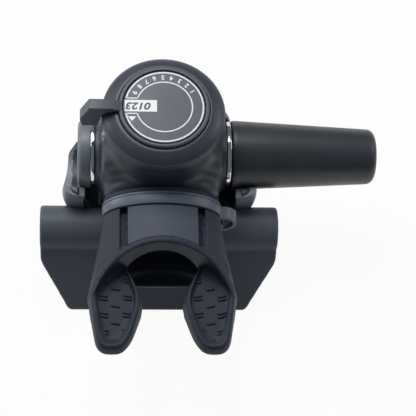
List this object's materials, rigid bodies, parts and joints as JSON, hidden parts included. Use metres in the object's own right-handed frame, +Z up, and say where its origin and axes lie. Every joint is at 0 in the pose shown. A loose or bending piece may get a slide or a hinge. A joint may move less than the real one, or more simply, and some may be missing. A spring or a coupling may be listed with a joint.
{
  "type": "scuba regulator second stage",
  "caption": "Scuba second stage: case with purge cover, dial in a turning lever ring, exhaust tee, strapped mouthpiece and a swivelling hose end with a bend sleeve.",
  "frame": {"origin": "on the floor under the axis of the tower, at the flat foot of the drum-shaped case", "axes": "+X to the hose, +Y to the purge cover, -Y to the diver's mouth, +Z up to the dial"},
  "size_m": [0.1272, 0.1076, 0.0794],
  "materials": {
    "case_plastic": "satin moulded nylon, near black",
    "trim_plastic": "fine-textured moulded nylon, charcoal",
    "dial_face": "smooth mid-grey with white printing",
    "white_plastic": "smooth white acetal",
    "mouth_silicone": "soft satin silicone, black",
    "tee_rubber": "soft matte rubber, black",
    "hose_rubber": "smooth matte rubber, black",
    "seal_rubber": "black seal rubber",
    "clear_silicone": "translucent silicone",
    "strap_nylon": "black nylon strap",
    "chrome": "polished chrome on brass",
    "brass": "turned brass, plated",
    "steel": "stainless steel"
  },
  "bodies": {
    "housing": {"case": "case_plastic", "valve_tube": "brass", "lever_pin": "steel", "inlet_fitting": "chrome", "orifice": "brass", "end_ring": "chrome", "end_cap": "trim_plastic", "adjusting_nut": "brass", "poppet_spring": "steel", "diaphragm": "clear_silicone", "slip_ring": "white_plastic", "cover_ring": "trim_plastic", "purge_spring": "steel", "top_cap": "case_plastic", "tower_seal": "seal_rubber", "dial_plate": "dial_face", "dial_screw": "steel", "exhaust_valve": "clear_silicone", "exhaust_tee": "tee_rubber", "mouthpiece": "mouth_silicone", "strap": "strap_nylon"},
    "venturi": {"lever_ring": "trim_plastic", "drive_pin": "steel", "venturi_vane": "white_plastic"},
    "purge": {"purge_button": "trim_plastic"},
    "diaphragm_centre": {"diaphragm_plate": "steel"},
    "lever": {"demand_lever": "steel"},
    "poppet_set": {"poppet": "white_plastic", "poppet_seat": "seal_rubber"},
    "hose_end": {"hose_tail": "chrome", "hose_seal": "seal_rubber", "hose_nut": "chrome", "hose_ferrule": "chrome", "hose_sleeve": "hose_rubber"}
  },
  "joints": [
    {"name": "venturi_turn", "type": "hinge", "parent": "housing", "child": "venturi", "pos_m": [0, 0, 0.078], "axis": [0, 0, 1], "range_deg": [0, 38]},
    {"name": "purge_press", "type": "slide", "parent": "housing", "child": "purge", "axis": [0, -1, 0], "range_m": [0, 0.003], "stiffness_N_per_m": 400, "deforming": ["purge_spring", "diaphragm"]},
    {"name": "diaphragm_travel", "type": "slide", "parent": "housing", "child": "diaphragm_centre", "axis": [0, -1, 0], "range_m": [0, 0.003]},
    {"name": "demand_lever_pivot", "type": "hinge", "parent": "housing", "child": "lever", "pos_m": [-0.0117, 0.0095, 0.0408], "axis": [0, 0, -1], "range_deg": [0, 13.5]},
    {"name": "poppet_travel", "type": "slide", "parent": "housing", "child": "poppet_set", "axis": [-1, 0, 0], "range_m": [0, 0.0015], "deforming": ["poppet_spring"]},
    {"name": "hose_swivel", "type": "hinge", "parent": "housing", "child": "hose_end", "pos_m": [0.05, 0, 0.0408], "axis": [1, 0, 0], "continuous": true}
  ],
  "couplings": [
    {"joint": "diaphragm_travel", "follows": "purge_press", "ratio": 1},
    {"joint": "demand_lever_pivot", "follows": "purge_press", "rad_per_m": 77.6},
    {"joint": "poppet_travel", "follows": "purge_press", "ratio": 0.5}
  ]
}
